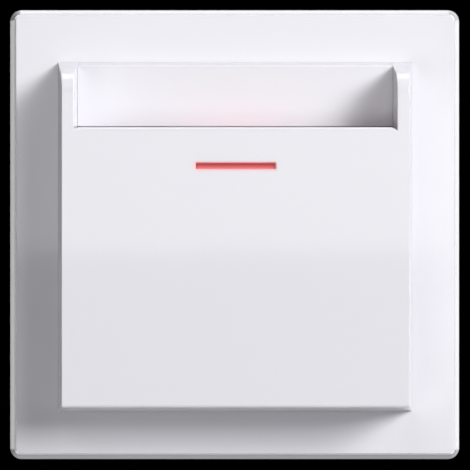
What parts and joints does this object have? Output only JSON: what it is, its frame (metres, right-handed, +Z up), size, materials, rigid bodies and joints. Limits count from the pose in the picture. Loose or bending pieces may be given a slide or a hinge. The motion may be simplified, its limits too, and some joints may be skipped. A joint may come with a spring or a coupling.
{
  "type": "hotel key card switch",
  "caption": "Wall-mounted hotel key card switch: a pushed-in card swings a paddle that closes the contact in the flush switch housing.",
  "frame": {"origin": "centre of the support frame's rear face, on the wall plane and on the centre of the box screw pitch", "axes": "+Y runs into the wall, the card holder faces -Y, +Z is up and +X is right seen from the room"},
  "size_m": [0.081, 0.0502, 0.081],
  "materials": {
    "white_plastic": "glossy white moulding",
    "red_lens": "translucent red lens, lit from behind",
    "clear_plastic": "clear acrylic light guide",
    "red_lamp": "red lamp body",
    "paddle_plastic": "fine matt acetal",
    "grey_plastic": "matt grey thermoset",
    "light_grey_plastic": "matt light grey thermoset",
    "zinc_steel": "zinc plated sheet steel",
    "bright_steel": "bright plated steel",
    "spring_steel": "drawn spring wire",
    "strip_brass": "rolled brass strip",
    "contact_silver": "silver contact rivet",
    "board_green": "solder-masked laminate",
    "resistor_body": "lacquered ceramic"
  },
  "bodies": {
    "switch": {"frame": "white_plastic", "card_cover": "white_plastic", "card_guide": "white_plastic", "indicator_lens": "red_lens", "light_pipe": "clear_plastic", "guide_screws": "bright_steel", "paddle_pin": "bright_steel", "paddle_spring": "spring_steel", "support_frame": "zinc_steel", "mechanism_housing": "grey_plastic", "mechanism_cover": "light_grey_plastic", "cover_screws": "bright_steel", "plunger_spring": "spring_steel", "contact_spring": "spring_steel", "arm_pin": "bright_steel", "common_strip": "strip_brass", "output_strip": "strip_brass", "fixed_contact": "contact_silver", "lamp_feed_strip": "strip_brass", "lamp_return_strip": "strip_brass", "lamp_board": "board_green", "indicator_lamp": "red_lamp", "resistor": "resistor_body"},
    "paddle": {"card_paddle": "paddle_plastic"},
    "plunger": {"plunger": "paddle_plastic"},
    "contact": {"contact_arm": "strip_brass", "moving_contact": "contact_silver"},
    "screw_1": {"terminal_screw_1": "bright_steel"},
    "cage_1": {"terminal_cage_1": "zinc_steel"},
    "screw_2": {"terminal_screw_2": "bright_steel"},
    "cage_2": {"terminal_cage_2": "zinc_steel"},
    "screw_3": {"terminal_screw_3": "bright_steel"},
    "cage_3": {"terminal_cage_3": "zinc_steel"},
    "screw_4": {"terminal_screw_4": "bright_steel"},
    "cage_4": {"terminal_cage_4": "zinc_steel"}
  },
  "joints": [
    {"name": "paddle_swing", "type": "hinge", "parent": "switch", "child": "paddle", "pos_m": [0, -0.009, 0.0045], "axis": [1, 0, 0], "range_deg": [0, 11.5], "deforming": ["paddle_spring"]},
    {"name": "plunger_slide", "type": "slide", "parent": "switch", "child": "plunger", "axis": [0, 1, 0], "range_m": [0, 0.00241], "stiffness_N_per_m": 140, "springref_m": -0.003, "deforming": ["plunger_spring"]},
    {"name": "contact_swing", "type": "hinge", "parent": "switch", "child": "contact", "pos_m": [0, 0.013, 0.01], "axis": [1, 0, 0], "range_deg": [0, 7.9], "deforming": ["contact_spring"]},
    {"name": "screw_1_turn", "type": "hinge", "parent": "switch", "child": "screw_1", "pos_m": [-0.011, 0.02327, 0.0165], "axis": [0, 0, -1], "range_deg": [0, 1801]},
    {"name": "cage_1_rise", "type": "slide", "parent": "switch", "child": "cage_1", "axis": [0, 0, 1], "range_m": [0, 0.003]},
    {"name": "screw_2_turn", "type": "hinge", "parent": "switch", "child": "screw_2", "pos_m": [0.011, 0.02327, 0.0165], "axis": [0, 0, -1], "range_deg": [0, 1801]},
    {"name": "cage_2_rise", "type": "slide", "parent": "switch", "child": "cage_2", "axis": [0, 0, 1], "range_m": [0, 0.003]},
    {"name": "screw_3_turn", "type": "hinge", "parent": "switch", "child": "screw_3", "pos_m": [-0.011, 0.02327, -0.0165], "axis": [0, 0, 1], "range_deg": [0, 1801]},
    {"name": "cage_3_rise", "type": "slide", "parent": "switch", "child": "cage_3", "axis": [0, 0, -1], "range_m": [0, 0.003]},
    {"name": "screw_4_turn", "type": "hinge", "parent": "switch", "child": "screw_4", "pos_m": [0.011, 0.02327, -0.0165], "axis": [0, 0, 1], "range_deg": [0, 1801]},
    {"name": "cage_4_rise", "type": "slide", "parent": "switch", "child": "cage_4", "axis": [0, 0, -1], "range_m": [0, 0.003]}
  ],
  "couplings": [
    {"joint": "paddle_swing", "follows": "plunger_slide", "rad_per_m": 83.333},
    {"joint": "contact_swing", "follows": "plunger_slide", "rad_per_m": 57.143},
    {"joint": "screw_1_turn", "follows": "cage_1_rise", "rad_per_m": 10472},
    {"joint": "screw_2_turn", "follows": "cage_2_rise", "rad_per_m": 10472},
    {"joint": "screw_3_turn", "follows": "cage_3_rise", "rad_per_m": 10472},
    {"joint": "screw_4_turn", "follows": "cage_4_rise", "rad_per_m": 10472}
  ]
}
